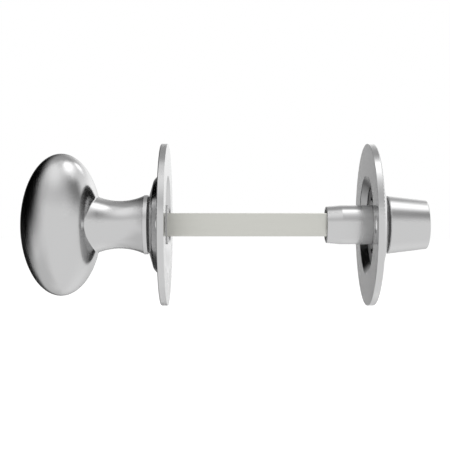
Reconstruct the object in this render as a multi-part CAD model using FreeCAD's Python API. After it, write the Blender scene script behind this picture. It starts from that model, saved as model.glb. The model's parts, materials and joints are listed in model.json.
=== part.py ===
import FreeCAD, Part
import math
import os

# Bathroom turn and release set, in millimetres: an oval knob turns a square spindle that passes
# through the door into a coin-slotted release, and each side runs in its own round rose.
# Origin: centre of the turn rose's back face, on the spindle axis. +X runs along the spindle towards
# the release, and +Z is up along the knob's long axis, as it stands with the bolt drawn back.
# Each side is drawn once, looking outward from the door: h is the distance out from the back of its
# rose and r the distance from the spindle axis. It is then turned or moved to its face of the door.

Vector = FreeCAD.Vector
ORIGIN = Vector(0, 0, 0)
OUTWARD = Vector(1, 0, 0)
UP = Vector(0, 0, 1)

# Door and spindle
door_thickness = 42.9
spindle_side = 5.0
spindle_edge_chamfer = 0.15
spindle_end_chamfer = 0.5
spindle_seat_depth = 12.0
spindle_engagement = 9.75
seat_clearance = 0.01
sliding_clearance = 0.07

# Shaft that runs in the rose, and what holds it there
shaft_diameter = 8.5
running_clearance = 0.06
axial_clearance = 0.05
bearing_washer_margin = 0.25
bearing_washer_thickness = 0.26
wave_washer_width = 1.6
wave_washer_thickness = 0.2
wave_washer_height = 0.6
wave_count = 3
points_per_wave = 8
groove_depth = 0.3
clip_thickness = 0.7
clip_width = 1.25
clip_eccentricity = 0.3
clip_gap = 2.4
clip_ear_diameter = 2.2
clip_ear_hole_diameter = 1.0
clip_ear_spread = 19.0
clip_grip_clearance = 0.05
clip_side_clearance = 0.03
clip_land = 0.9
shaft_end_inset = 0.09

# Rose, the same on both sides
rose_diameter = 35.0
flange_thickness = 1.45
rim_edge_radius = 0.25
rim_back_radius = 0.06
bore_length = 1.58
pocket_margin = 0.35
pocket_depth = 0.87
recess_floor_width = 2.47
recess_wall_width = 1.56
recess_corner_radius = 0.6
recess_lip_radius = 0.3
dome_wall = 0.68
dome_shoulder_margin = 0.55
dome_shoulder_drop = 0.92
dome_shoulder_radius = 1.6
dome_top_margin = 0.17
dome_edge_radius = 0.15
screw_edge_distance = 4.0
screw_hole_diameter = 3.4
countersink_diameter = 5.6
countersink_angle = 90.0

# Turn: oval knob on a waisted stem, in one casting
knob_height = 30.8
knob_girth = 17.52
stem_length = 18.95
waist_diameter = 10.3
waist_radius = 12.6
waist_distance = 6.22
flare_angle = 19.5
stem_end_diameter = 13.05
bead_diameter = 12.86
bead_thickness = 0.95
bead_edge_radius = 0.1
seam_fillet = 0.4

# Release: tapered boss with a coin slot, and the sleeve that takes the spindle, turned in one piece
release_length = 8.75
release_base_diameter = 12.66
release_tip_diameter = 10.55
release_edge_radius = 0.35
release_base_radius = 0.35
coin_slot_width = 2.0
coin_slot_depth = 2.0
socket_end_wall = 1.4
socket_mouth_diameter = 7.2
sleeve_reach = 8.8
sleeve_cone_drop = 0.3
sleeve_cone_length = 3.3
sleeve_edge_radius = 0.2

# Diameters that follow from the sizes above
bore_diameter = shaft_diameter + 2 * running_clearance
groove_diameter = shaft_diameter - 2 * groove_depth
bearing_washer_diameter = release_base_diameter - 2 * bearing_washer_margin
wave_washer_diameter = bore_diameter + 2 * wave_washer_width
clip_bore_diameter = groove_diameter + 2 * clip_grip_clearance
clip_outer_diameter = clip_bore_diameter + 2 * clip_width
pocket_diameter = clip_outer_diameter + clip_ear_diameter + 2 * pocket_margin
recess_floor_diameter = pocket_diameter + 2 * recess_floor_width
recess_mouth_diameter = recess_floor_diameter + 2 * recess_wall_width
dome_shoulder_diameter = recess_floor_diameter + 2 * dome_shoulder_margin
dome_foot_diameter = recess_mouth_diameter + 2 * dome_wall
dome_top_diameter = bead_diameter + 2 * dome_top_margin
screw_pitch = rose_diameter - 2 * screw_edge_distance
spindle_length = spindle_seat_depth + door_thickness - sleeve_reach + spindle_engagement

# Places along h that follow from the sizes above
shaft_end = shaft_end_inset
groove_start = shaft_end + clip_land
clip_seat = groove_start + clip_side_clearance
groove_end = clip_seat + clip_thickness + clip_side_clearance
wave_washer_seat = clip_seat + clip_thickness
pocket_floor = wave_washer_seat + wave_washer_height + axial_clearance
recess_floor = pocket_floor - pocket_depth
rose_height = pocket_floor + bore_length
dome_shoulder_height = rose_height - dome_shoulder_drop
bearing_face = rose_height + bearing_washer_thickness + axial_clearance
knob_centre = bearing_face + stem_length
release_face = bearing_face + release_length


def point(h, r):
    return Vector(h, 0, r)


def rounded_path(corners):
    """Edges through corners (h, r, radius), each inner corner rounded by its radius."""
    edges = []
    start = point(*corners[0][:2])
    for before, corner, after in zip(corners, corners[1:], corners[2:]):
        here = point(*corner[:2])
        back = point(*before[:2]) - here
        ahead = point(*after[:2]) - here
        half_turn = (math.pi - back.getAngle(ahead)) / 2
        radius = corner[2]
        setback = radius * math.tan(half_turn)
        if setback < 1e-6:
            edges.append(Part.makeLine(start, here))
            start = here
            continue
        back.normalize()
        ahead.normalize()
        arc_start = here + back * setback
        arc_end = here + ahead * setback
        inward = back + ahead
        inward.normalize()
        arc_middle = here + inward * (radius / math.cos(half_turn) - radius)
        edges.append(Part.makeLine(start, arc_start))
        edges.append(Part.Arc(arc_start, arc_middle, arc_end).toShape())
        start = arc_end
    edges.append(Part.makeLine(start, point(*corners[-1][:2])))
    return edges


def turned(edges):
    """Solid of revolution about the spindle axis from a closed run of edges."""
    return Part.Face(Part.Wire(edges)).revolve(ORIGIN, OUTWARD, 360)


def closed_corners(corners):
    return corners + [corners[0]]


def ring(h, thickness, inner_diameter, outer_diameter):
    disc = Part.makeCylinder(outer_diameter / 2, thickness, point(h, 0), OUTWARD)
    return disc.cut(Part.makeCylinder(inner_diameter / 2, thickness, point(h, 0), OUTWARD))


def square_bar(h, length, side):
    return Part.makeBox(length, side, side, Vector(h, -side / 2, -side / 2))


def on_turn_side(shape):
    """Turned about so that outward is -X, with its back on the turn face of the door."""
    placed = shape.copy()
    placed.rotate(ORIGIN, UP, 180)
    return placed


def on_release_side(shape):
    placed = shape.copy()
    placed.translate(Vector(door_thickness, 0, 0))
    return placed


def screw_hole(side):
    """Countersunk hole for a wood screw, with room for its head where it cuts the dome's foot."""
    hole_r = screw_hole_diameter / 2
    sink_r = countersink_diameter / 2
    sink_depth = (sink_r - hole_r) / math.tan(math.radians(countersink_angle / 2))
    centre = Vector(0, side * screw_pitch / 2, 0)
    drilled = Part.makeCylinder(hole_r, rose_height, centre, OUTWARD)
    sink_base = centre + Vector(flange_thickness - sink_depth, 0, 0)
    sink = Part.makeCone(hole_r, sink_r, sink_depth, sink_base, OUTWARD)
    head_room = Part.makeCylinder(sink_r, rose_height, centre + Vector(flange_thickness, 0, 0), OUTWARD)
    return drilled.fuse([sink, head_room])


def rose():
    """Round rose with a raised domed centre, bored for the shaft.

    Behind, it has a shallow recess, and in that a pocket for the clip and the spring washer.
    """
    bore_r = bore_diameter / 2
    rim_r = rose_diameter / 2
    front = [
        (pocket_floor, bore_r, 0),
        (rose_height, bore_r, 0),
        (rose_height, dome_top_diameter / 2, dome_edge_radius),
        (dome_shoulder_height, dome_shoulder_diameter / 2, dome_shoulder_radius),
        (flange_thickness, dome_foot_diameter / 2, 0),
        (flange_thickness, rim_r, rim_edge_radius),
        (0, rim_r, rim_back_radius),
    ]
    back = [
        (0, recess_mouth_diameter / 2, recess_lip_radius),
        (recess_floor, recess_floor_diameter / 2, recess_corner_radius),
        (recess_floor, pocket_diameter / 2, 0),
        (pocket_floor, pocket_diameter / 2, 0),
    ]
    body = turned(rounded_path(closed_corners(front + back)))
    return body.cut([screw_hole(-1), screw_hole(1)])


def shaft_corners(end, face_corner):
    """Corners of the shaft from its end on the axis out to the bearing face, with the clip groove."""
    shaft_r = shaft_diameter / 2
    groove_r = groove_diameter / 2
    return end + [
        (groove_start, shaft_r, 0),
        (groove_start, groove_r, 0),
        (groove_end, groove_r, 0),
        (groove_end, shaft_r, 0),
        (bearing_face, shaft_r, 0),
        face_corner,
    ]


def stem_flare():
    """Concave waist of the stem and the convex run-out that carries it into the knob."""
    angle = math.radians(flare_angle)
    waist_h = bearing_face + waist_distance
    waist_r = waist_diameter / 2
    arc_r = waist_r + waist_radius
    start_h = bearing_face + bead_thickness
    lead = waist_h - start_h
    start = point(start_h, arc_r - math.sqrt(waist_radius ** 2 - lead ** 2))
    turn_h = waist_h + waist_radius * math.sin(angle)
    turn_r = arc_r - waist_radius * math.cos(angle)
    turn_point = point(turn_h, turn_r)
    end_r = stem_end_diameter / 2
    run_out_radius = (end_r - turn_r) / (1 - math.cos(angle))
    end = point(turn_h + run_out_radius * math.sin(angle), end_r)
    half = angle / 2
    run_out_middle = point(end.x - run_out_radius * math.sin(half),
                           end_r - run_out_radius * (1 - math.cos(half)))
    concave = Part.Arc(start, point(waist_h, waist_r), turn_point).toShape()
    convex = Part.Arc(turn_point, run_out_middle, end).toShape()
    return start, [concave, convex], end


def stem():
    """Stem of the turn: grooved shaft, bead, waist and flare, as one turned form."""
    bead_r = bead_diameter / 2
    flare_start, flare, flare_end = stem_flare()
    end = [(shaft_end, 0, 0), (shaft_end, shaft_diameter / 2, 0)]
    corners = shaft_corners(end, (bearing_face, bead_r, bead_edge_radius))
    corners.append((flare_start.x, bead_r, bead_edge_radius))
    corners.append((flare_start.x, flare_start.z, 0))
    inside_knob = [(flare_end.x, flare_end.z, 0), (knob_centre, flare_end.z, 0), (knob_centre, 0, 0),
                   (shaft_end, 0, 0)]
    return turned(rounded_path(corners) + flare + rounded_path(inside_knob))


def egg():
    """Oval knob: a ball stretched upright, so it stays round about its long axis."""
    ball = Part.makeSphere(knob_girth / 2)
    stretch = FreeCAD.Matrix()
    stretch.scale(1, 1, knob_height / knob_girth)
    oval = ball.transformGeometry(stretch)
    oval.translate(point(knob_centre, 0))
    return oval


def shared_edges(body, face):
    """Edges along which one face of a body meets the others."""
    others = [edge for other in body.Faces if not other.isSame(face) for edge in other.Edges]
    return [edge for edge in face.Edges if any(edge.isSame(other) for other in others)]


def turn_knob():
    """Knob and stem cast in one, with the square seat of the spindle in the shaft's end."""
    body = stem().fuse(egg())
    egg_face = max(body.Faces, key=lambda face: face.Area)
    body = body.makeFillet(seam_fillet, shared_edges(body, egg_face))
    seat_side = spindle_side + 2 * seat_clearance
    return body.cut(square_bar(shaft_end, spindle_seat_depth - shaft_end, seat_side))


def release():
    """Tapered boss with its coin slot, and the coned sleeve with the spindle's sliding socket.

    The socket's mouth is countersunk to lead the spindle in.
    """
    tip = [
        (-sleeve_reach, 0, 0),
        (-sleeve_reach, shaft_diameter / 2 - sleeve_cone_drop, sleeve_edge_radius),
        (sleeve_cone_length - sleeve_reach, shaft_diameter / 2, 0),
    ]
    corners = shaft_corners(tip, (bearing_face, release_base_diameter / 2, release_base_radius))
    corners.append((release_face, release_tip_diameter / 2, release_edge_radius))
    corners.append((release_face, 0, 0))
    body = turned(rounded_path(closed_corners(corners)))
    slot_bottom = release_face - coin_slot_depth
    slot = Part.makeBox(coin_slot_depth, coin_slot_width, release_base_diameter,
                        Vector(slot_bottom, -coin_slot_width / 2, -release_base_diameter / 2))
    socket_length = slot_bottom - socket_end_wall + sleeve_reach
    socket_side = spindle_side + 2 * sliding_clearance
    socket = square_bar(-sleeve_reach, socket_length, socket_side)
    mouth_r = socket_mouth_diameter / 2
    mouth_depth = mouth_r - socket_side / 2
    mouth = Part.makeCone(mouth_r, socket_side / 2, mouth_depth, point(-sleeve_reach, 0), OUTWARD)
    return body.cut([slot, socket, mouth])


def spindle():
    """Square bar with broken edges, from its seat in the turn to its free end in the release."""
    bar = square_bar(-spindle_seat_depth, spindle_length, spindle_side)
    end_face = max(bar.Faces, key=lambda face: face.CenterOfMass.x)
    bar = bar.makeChamfer(spindle_end_chamfer, end_face.Edges)
    sides = [edge for edge in bar.Edges if edge.Length > spindle_length / 2]
    return bar.makeChamfer(spindle_edge_chamfer, sides)


def bearing_washer():
    return ring(rose_height, bearing_washer_thickness, bore_diameter, bearing_washer_diameter)


def wave_edge(h, radius):
    """Closed wavy line on a cylinder about the spindle axis."""
    swing = (wave_washer_height - wave_washer_thickness) / 2
    points = []
    steps = points_per_wave * wave_count
    for step in range(steps):
        angle = 2 * math.pi * step / steps
        wave = swing * math.cos(wave_count * angle)
        points.append(Vector(h + wave, radius * math.cos(angle), radius * math.sin(angle)))
    curve = Part.BSplineCurve()
    curve.interpolate(points, PeriodicFlag=True)
    return curve.toShape()


def wave_washer():
    """Spring washer with a wavy flat ring, pressed between the clip and the pocket's floor."""
    middle = wave_washer_seat + wave_washer_height / 2
    inner_r = bore_diameter / 2
    outer_r = wave_washer_diameter / 2
    below = middle - wave_washer_thickness / 2
    above = middle + wave_washer_thickness / 2
    inner_low, outer_low = wave_edge(below, inner_r), wave_edge(below, outer_r)
    inner_high, outer_high = wave_edge(above, inner_r), wave_edge(above, outer_r)
    pairs = [(inner_low, outer_low), (outer_low, outer_high), (outer_high, inner_high),
             (inner_high, inner_low)]
    faces = [Part.makeRuledSurface(first, second) for first, second in pairs]
    shell = Part.Compound(faces)
    shell.sewShape()
    return Part.Solid(shell.Shells[0])


def clip():
    """Sprung ring with two pierced ears, open towards +Y, seated in the shaft's groove."""
    outer_r = clip_outer_diameter / 2
    centre = Vector(clip_seat, -clip_eccentricity, 0)
    body = Part.makeCylinder(outer_r, clip_thickness, centre, OUTWARD)
    holes = []
    for side in (-1, 1):
        angle = math.radians(clip_ear_spread) * side
        ear_centre = Vector(clip_seat, outer_r * math.cos(angle), outer_r * math.sin(angle))
        ear = Part.makeCylinder(clip_ear_diameter / 2, clip_thickness, ear_centre, OUTWARD)
        body = body.fuse(ear)
        holes.append(Part.makeCylinder(clip_ear_hole_diameter / 2, clip_thickness, ear_centre, OUTWARD))
    bore = Part.makeCylinder(clip_bore_diameter / 2, clip_thickness, point(clip_seat, 0), OUTWARD)
    gap = Part.makeBox(clip_thickness, clip_outer_diameter, clip_gap, Vector(clip_seat, 0, -clip_gap / 2))
    return body.cut([bore, gap] + holes).removeSplitter()


nodes = {
    "turn_rose": on_turn_side(rose()),
    "turn_bearing_washer": on_turn_side(bearing_washer()),
    "turn_knob": on_turn_side(turn_knob()),
    "turn_wave_washer": on_turn_side(wave_washer()),
    "turn_clip": on_turn_side(clip()),
    "spindle": spindle(),
    "release": on_release_side(release()),
    "release_clip": on_release_side(clip()),
    "release_wave_washer": on_release_side(wave_washer()),
    "release_rose": on_release_side(rose()),
    "release_bearing_washer": on_release_side(bearing_washer()),
}

os.makedirs("parts", exist_ok=True)
for name, shape in nodes.items():
    shape.Solids[0].exportStep("parts/" + name + ".step")
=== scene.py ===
"""Looks of a bathroom turn and release set: satin metal, drawn steel and nylon in a white studio.

The frame's axes hold here too: +X runs from the turn to the release, +Z is up, and the camera
looks along +Y. Lengths are metres unless a name says otherwise.
"""

import json
import math

import bpy
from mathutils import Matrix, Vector


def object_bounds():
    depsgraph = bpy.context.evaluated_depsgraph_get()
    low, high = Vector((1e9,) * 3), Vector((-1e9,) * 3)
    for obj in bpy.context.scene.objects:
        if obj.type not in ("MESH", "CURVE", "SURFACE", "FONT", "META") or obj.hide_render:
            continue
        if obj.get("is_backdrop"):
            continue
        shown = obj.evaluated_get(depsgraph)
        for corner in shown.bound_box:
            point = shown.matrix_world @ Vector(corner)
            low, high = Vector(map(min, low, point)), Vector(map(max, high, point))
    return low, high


MM = 0.001
WHITE = (1, 1, 1, 1)

# Camera of the photograph, level with the spindle but for a hair
CAMERA_X = 12.28 * MM
CAMERA_Z = -0.06 * MM
CAMERA_DISTANCE = 212.76 * MM
FOCAL_PIXELS = 981
IMAGE_PIXELS = 450
SENSOR_MM = 36

# Studio: a white room with cards round the object, at plain levels where 1 is white
ROOM_LEVEL = 0.6
FLOOR_DROP = 45 * MM
FLOOR_RADIUS = 4.0
FLOOR_CORNERS = 64
FLOOR_COLOUR = 0.8
FLOOR_GLOW = 0.55
CARD_DISTANCE = 1.0
CARD_STEP = 0.02
CARD_CUTS = 24

# Lamp overhead, with its azimuth and elevation in degrees
LAMP_PLACE = (92, 68)
LAMP_DIAMETER = 0.5
LAMP_WATTS = 3.0

# Share of a metal's own gleam that is left at a grazing angle
METAL_EDGE = 0.7

# The range that holds most of a noise's values, and a noise that isn't drawn out
NOISE_LOW = 0.3
NOISE_HIGH = 0.7
EVEN = (1, 1, 1)

# Duller finish behind each rose, from in front of its flat back to just past its recess's floor
DULL_FROM = -1.7 * MM
DULL_FULL = -0.3 * MM
DULL_TO = 1.55 * MM
DULL_RADIUS = 9.0 * MM
DULLNESS = 0.4


def principled(name, colour, metallic, roughness):
    """New material with its Principled shader's constants set, and its tree and shader."""
    material = bpy.data.materials.new(name)
    material.use_nodes = True
    tree = material.node_tree
    shader = tree.nodes["Principled BSDF"]
    shader.inputs["Base Color"].default_value = (*colour, 1)
    shader.inputs["Metallic"].default_value = metallic
    shader.inputs["Roughness"].default_value = roughness
    if metallic:
        shader.inputs["Specular Tint"].default_value = (METAL_EDGE, METAL_EDGE, METAL_EDGE, 1)
    return material, tree, shader


def blank(name):
    """New material without a shader, and its tree."""
    material = bpy.data.materials.new(name)
    material.use_nodes = True
    tree = material.node_tree
    tree.nodes.remove(tree.nodes["Principled BSDF"])
    return material, tree


def calculated(tree, operation, *values):
    """Result of one sum on sockets and plain numbers."""
    node = tree.nodes.new("ShaderNodeMath")
    node.operation = operation
    for value, socket in zip(values, node.inputs):
        if isinstance(value, float):
            socket.default_value = value
        else:
            tree.links.new(value, socket)
    return node.outputs[0]


def rising(tree, source, start, end):
    """Goes smoothly from 0 at one value of a socket to 1 at another."""
    ramp = tree.nodes.new("ShaderNodeMapRange")
    ramp.interpolation_type = "SMOOTHSTEP"
    ramp.inputs["From Min"].default_value = start
    ramp.inputs["From Max"].default_value = end
    tree.links.new(source, ramp.inputs["Value"])
    return ramp.outputs["Result"]


def separated(tree, coordinates):
    """The outputs x, y and z of one kind of texture coordinates."""
    place = tree.nodes.new("ShaderNodeTexCoord")
    axes = tree.nodes.new("ShaderNodeSeparateXYZ")
    tree.links.new(place.outputs[coordinates], axes.inputs[0])
    return axes.outputs


def mixed(tree, share, without, with_it, surface):
    """Mixes two shaders by a share from 0 to 1 into a surface."""
    mix = tree.nodes.new("ShaderNodeMixShader")
    tree.links.new(share, mix.inputs["Fac"])
    tree.links.new(without.outputs[0], mix.inputs[1])
    tree.links.new(with_it.outputs[0], mix.inputs[2])
    tree.links.new(mix.outputs[0], surface)


def stretched_noise(tree, stretch, scale):
    """Noise over the piece's own coordinates, drawn out along the axes with a small stretch."""
    coordinates = tree.nodes.new("ShaderNodeTexCoord")
    mapping = tree.nodes.new("ShaderNodeMapping")
    mapping.inputs["Scale"].default_value = stretch
    noise = tree.nodes.new("ShaderNodeTexNoise")
    noise.inputs["Scale"].default_value = scale
    tree.links.new(coordinates.outputs["Object"], mapping.inputs["Vector"])
    tree.links.new(mapping.outputs["Vector"], noise.inputs["Vector"])
    return noise


def varied(tree, source, low, high, socket):
    """Drives a socket from low to high by a noise."""
    spread = tree.nodes.new("ShaderNodeMapRange")
    spread.inputs["From Min"].default_value = NOISE_LOW
    spread.inputs["From Max"].default_value = NOISE_HIGH
    spread.inputs["To Min"].default_value = low
    spread.inputs["To Max"].default_value = high
    tree.links.new(source.outputs["Fac"], spread.inputs["Value"])
    tree.links.new(spread.outputs["Result"], socket)


def bumped(tree, source, shader, depth, strength):
    """Roughens a shader's surface by a noise."""
    bump = tree.nodes.new("ShaderNodeBump")
    bump.inputs["Distance"].default_value = depth
    bump.inputs["Strength"].default_value = strength
    tree.links.new(source.outputs["Fac"], bump.inputs["Height"])
    tree.links.new(bump.outputs["Normal"], shader.inputs["Normal"])


def behind_roses(tree, half_door):
    """1 on the floor of the recess behind each rose and on the shaft there, and 0 elsewhere."""
    x, y, z = separated(tree, "Object")
    outward = calculated(tree, "ABSOLUTE", calculated(tree, "SUBTRACT", x, half_door))
    squares = [calculated(tree, "MULTIPLY", side, side) for side in (y, z)]
    near_axis = calculated(tree, "LESS_THAN", calculated(tree, "ADD", *squares), DULL_RADIUS ** 2)
    before_end = calculated(tree, "LESS_THAN", outward, half_door + DULL_TO)
    past_start = rising(tree, outward, half_door + DULL_FROM, half_door + DULL_FULL)
    inside = calculated(tree, "MULTIPLY", near_axis, before_end)
    return calculated(tree, "MULTIPLY", past_start, inside)


def satin_metal(half_door):
    """Satin plated metal with a faint grain and slightly uneven polish, duller behind the roses."""
    material, tree, shader = principled("satin_metal", (0.57, 0.57, 0.572), 1.0, 0.17)
    grain = stretched_noise(tree, EVEN, 6000)
    polish = stretched_noise(tree, EVEN, 300)
    roughness = shader.inputs["Roughness"]
    varied(tree, polish, 0.16, 0.18, roughness)
    bumped(tree, grain, shader, 0.002 * MM, 0.05)
    duller = calculated(tree, "MULTIPLY", behind_roses(tree, half_door), DULLNESS)
    tree.links.new(calculated(tree, "ADD", roughness.links[0].from_socket, duller), roughness)
    return material


def spindle_steel():
    """Cold drawn bright steel, with faint lines along the bar."""
    material, tree, shader = principled("spindle_steel", (0.62, 0.62, 0.58), 1.0, 0.4)
    lines = stretched_noise(tree, (0.02, 1, 1), 5000)
    varied(tree, lines, 0.36, 0.44, shader.inputs["Roughness"])
    bumped(tree, lines, shader, 0.004 * MM, 0.2)
    return material


def spring_steel():
    """Zinc plated spring steel of the clips and wave washers."""
    material, tree, shader = principled("spring_steel", (0.5, 0.5, 0.5), 1.0, 0.3)
    grain = stretched_noise(tree, EVEN, 4000)
    varied(tree, grain, 0.25, 0.35, shader.inputs["Roughness"])
    bumped(tree, grain, shader, 0.004 * MM, 0.2)
    return material


def nylon():
    """Dark moulded nylon of the bearing washers."""
    material, tree, shader = principled("nylon", (0.11, 0.11, 0.11), 0.0, 0.5)
    grain = stretched_noise(tree, EVEN, 3000)
    varied(tree, grain, 0.45, 0.6, shader.inputs["Roughness"])
    bumped(tree, grain, shader, 0.004 * MM, 0.3)
    return material


def dress_nodes(frame):
    """Gives every CAD node the finish of its material slot."""
    places = {mount["name"]: mount["pos_m"] for mount in frame["record"]["mounts"]}
    half_door = places["release_back"][0] / 2
    finishes = {
        "satin_metal": satin_metal(half_door),
        "spindle_steel": spindle_steel(),
        "spring_steel": spring_steel(),
        "nylon": nylon(),
    }
    for subpart in frame["record"]["subparts"]:
        for slot in frame["nodes"][subpart["node"]].material_slots:
            slot.material = finishes[subpart["material_slot"]]


def camera():
    """Camera of the photograph, looking along +Y."""
    data = bpy.data.cameras.new("camera")
    data.sensor_width = SENSOR_MM
    data.lens = FOCAL_PIXELS / IMAGE_PIXELS * SENSOR_MM
    holder = bpy.data.objects.new("camera", data)
    holder.location = (CAMERA_X, -CAMERA_DISTANCE, CAMERA_Z)
    holder.rotation_euler = (math.radians(90), 0, 0)
    bpy.context.scene.collection.objects.link(holder)
    bpy.context.scene.camera = holder


def seen_directly(tree):
    """1 for camera, glossy and transmission rays, and 0 for the rest."""
    path = tree.nodes.new("ShaderNodeLightPath")
    total = path.outputs["Is Camera Ray"]
    for kind in ("Is Glossy Ray", "Is Transmission Ray"):
        total = calculated(tree, "MAXIMUM", total, path.outputs[kind])
    return total


def room():
    """White world, which lights the object at a plainer level than the camera sees it."""
    world = bpy.data.worlds.new("room")
    world.use_nodes = True
    tree = world.node_tree
    light = tree.nodes["Background"]
    light.inputs["Color"].default_value = WHITE
    light.inputs["Strength"].default_value = ROOM_LEVEL
    white = tree.nodes.new("ShaderNodeBackground")
    white.inputs["Color"].default_value = WHITE
    mixed(tree, seen_directly(tree), light, white, tree.nodes["World Output"].inputs["Surface"])
    bpy.context.scene.world = world


def floor():
    """Pale floor under the set, bright enough to run into the white room and keep its shadow."""
    bpy.ops.mesh.primitive_circle_add(vertices=FLOOR_CORNERS, radius=FLOOR_RADIUS, fill_type="NGON")
    plane = bpy.context.object
    plane.name = "floor"
    plane.location.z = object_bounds()[0].z - FLOOR_DROP
    plane.visible_glossy = False
    material, tree = blank("floor")
    paint = tree.nodes.new("ShaderNodeBsdfDiffuse")
    paint.inputs["Color"].default_value = (FLOOR_COLOUR, FLOOR_COLOUR, FLOOR_COLOUR, 1)
    glow = tree.nodes.new("ShaderNodeEmission")
    level = calculated(tree, "MULTIPLY", seen_directly(tree), FLOOR_GLOW)
    tree.links.new(level, glow.inputs["Strength"])
    both = tree.nodes.new("ShaderNodeAddShader")
    tree.links.new(paint.outputs[0], both.inputs[0])
    tree.links.new(glow.outputs[0], both.inputs[1])
    tree.links.new(both.outputs[0], tree.nodes["Material Output"].inputs["Surface"])
    plane.data.materials.append(material)
    plane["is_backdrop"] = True


def direction(azimuth, elevation):
    """Unit vector at an azimuth round from +Y towards +X and an elevation, in degrees."""
    turn = math.radians(azimuth)
    lift = math.radians(elevation)
    level = math.cos(lift)
    return Vector((math.sin(turn) * level, math.cos(turn) * level, math.sin(lift)))


def card_material(name, level, shares):
    """Even glow that fades out over a share of the card at its left, right, low and high side."""
    material, tree = blank(name)
    across, up, _ = separated(tree, "UV")
    left, right, low, high = shares
    mask = 1.0
    for place, edge, inner in (
        (across, 0, left),
        (across, 1, 1 - right),
        (up, 0, low),
        (up, 1, 1 - high),
    ):
        mask = calculated(tree, "MULTIPLY", mask, rising(tree, place, edge, inner))
    clear = tree.nodes.new("ShaderNodeBsdfTransparent")
    glow = tree.nodes.new("ShaderNodeEmission")
    glow.inputs["Color"].default_value = WHITE
    glow.inputs["Strength"].default_value = level
    mixed(tree, mask, clear, glow, tree.nodes["Material Output"].inputs["Surface"])
    return material


def card(name, azimuths, elevations, level, soft, nearer):
    """Curved studio card round the object between two azimuths and two elevations.

    Only gloss shows it. soft gives the degrees over which its left, right, low and high sides fade.
    """
    away = CARD_DISTANCE - nearer
    steps = [index / CARD_CUTS for index in range(CARD_CUTS + 1)]
    width = azimuths[1] - azimuths[0]
    height = elevations[1] - elevations[0]
    places = [direction(azimuths[0] + u * width, elevations[0] + v * height) * away
              for v in steps for u in steps]
    row = CARD_CUTS + 1
    faces = [(low + u, low + u + 1, low + u + 1 + row, low + u + row)
             for low in range(0, CARD_CUTS * row, row) for u in range(CARD_CUTS)]
    mesh = bpy.data.meshes.new(name)
    mesh.from_pydata(places, [], faces)
    uv = mesh.uv_layers.new()
    for loop in mesh.loops:
        corner = loop.vertex_index
        uv.data[loop.index].uv = (steps[corner % row], steps[corner // row])
    shares = [soft[0] / width, soft[1] / width, soft[2] / height, soft[3] / height]
    mesh.materials.append(card_material(name, level, shares))
    panel = bpy.data.objects.new(name, mesh)
    panel.visible_camera = False
    panel.visible_diffuse = False
    panel.visible_transmission = False
    panel.visible_shadow = False
    bpy.context.scene.collection.objects.link(panel)
    panel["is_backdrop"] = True


def cards():
    """Bright and dark cards that model the metal's reflections, each inside the ones before it."""
    layers = [
        ("lower_left_card", (-154, -2), (-90, -5), 0.78, (35, 24, 39, 30)),
        ("lower_right_card", (-20, 132), (-90, -1), 1.12, (50, 80, 33, 51)),
        ("front_band_card", (113, 244), (12, 80), 0.5, (20, 20, 28, 40)),
        ("front_card", (86, 166), (1, 53), 0.11, (34, 67, 28, 13)),
        ("front_left_card", (134, 276), (12, 81), 1.24, (70, 6, 48, 13)),
        ("ceiling_card", (-124, 49), (29, 90), 0.51, (80, 14, 31, 17)),
        ("window_card", (-9, 117), (-27, 41), 2.03, (10, 45, 62, 31)),
        ("lamp_card", (32, 63), (33, 57), 2.64, (10, 17, 13, 10)),
        ("dark_card", (-108, 16), (-42, 64), 0.0, (35, 53, 42, 29)),
        ("dark_left_card", (-146, -37), (-25, 69), 0.0, (58, 3, 35, 52)),
        ("dark_low_card", (-81, 11), (-44, 34), 0.0, (31, 51, 17, 80)),
        ("dark_patch_card", (-68, -22), (-32, 8), 0.02, (10, 14, 18, 14)),
        ("top_card", (31, 184), (48, 85), 2.21, (53, 80, 24, 2)),
        ("top_back_card", (16, 46), (63, 81), 2.01, (36, 21, 13, 2)),
    ]
    for layer, (name, azimuths, elevations, level, soft) in enumerate(layers):
        card(name, azimuths, elevations, level, soft, layer * CARD_STEP)


def top_lamp():
    """Soft lamp overhead, for the floor's shadow and the plainer pieces."""
    data = bpy.data.lights.new("top_lamp", "AREA")
    data.shape = "DISK"
    data.size = LAMP_DIAMETER
    data.energy = LAMP_WATTS
    lamp = bpy.data.objects.new("top_lamp", data)
    outward = direction(*LAMP_PLACE)
    lamp.location = outward * CARD_DISTANCE
    lamp.rotation_euler = outward.to_track_quat("Z", "Y").to_euler()
    lamp.visible_glossy = False
    bpy.context.scene.collection.objects.link(lamp)


with open("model.json") as file:
    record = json.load(file)
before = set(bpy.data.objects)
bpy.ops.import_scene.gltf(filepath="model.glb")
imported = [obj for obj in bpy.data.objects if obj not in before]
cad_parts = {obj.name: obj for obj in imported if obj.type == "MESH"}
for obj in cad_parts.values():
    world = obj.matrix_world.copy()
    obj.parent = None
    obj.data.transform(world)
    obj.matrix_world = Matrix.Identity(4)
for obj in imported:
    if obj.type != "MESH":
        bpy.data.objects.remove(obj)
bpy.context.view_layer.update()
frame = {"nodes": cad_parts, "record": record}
camera()
room()
floor()
cards()
top_lamp()
dress_nodes(frame)
bpy.context.scene.view_settings.view_transform = "Standard"
